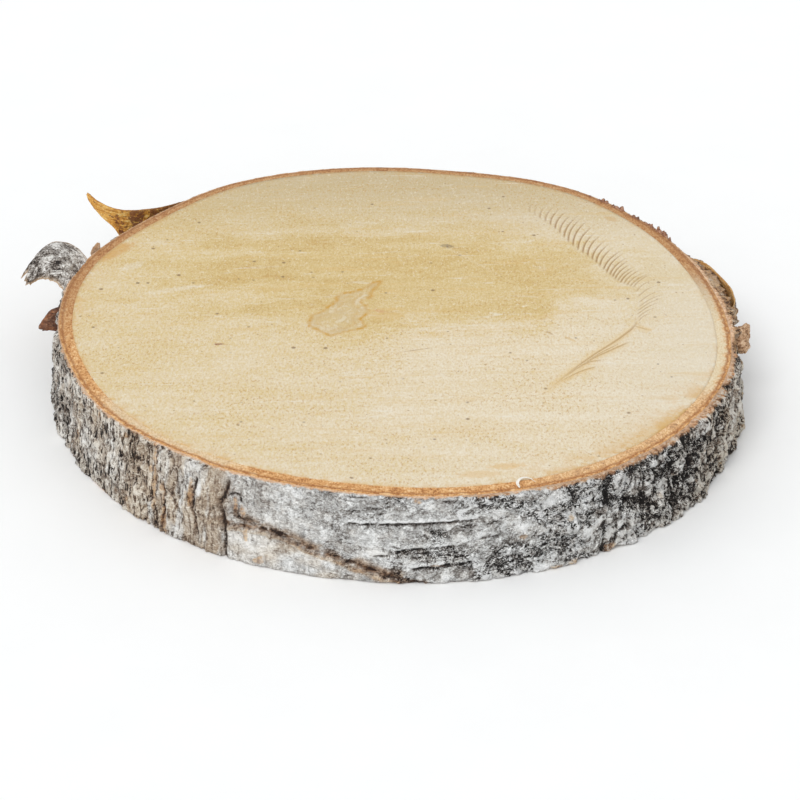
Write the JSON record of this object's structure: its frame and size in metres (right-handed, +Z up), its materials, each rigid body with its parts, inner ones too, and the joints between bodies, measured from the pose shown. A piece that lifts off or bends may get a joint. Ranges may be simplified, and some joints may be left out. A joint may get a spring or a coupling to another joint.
{
  "type": "birch wood slice",
  "caption": "Round slice of birch trunk with its bark on: a flat sawn wood disc in a ring of rough bark, used as a rustic stand, board or table centre.",
  "frame": {"origin": "middle of the sawn base, on the surface that the slice rests on", "axes": "+Z up through the sawn top face, +Y towards the back of the slice, +X to the right as the picture shows it"},
  "size_m": [0.3397, 0.3215, 0.0497],
  "materials": {
    "wood": "dry sawn wood, cream with ochre streaks and fine saw marks",
    "bark": "rough dry bark, grey and white with black fissures",
    "inner_bark": "sawn inner bark, matt orange brown"
  },
  "bodies": {
    "root": {"wood_disc": "wood", "bark": "bark"}
  },
  "joints": []
}
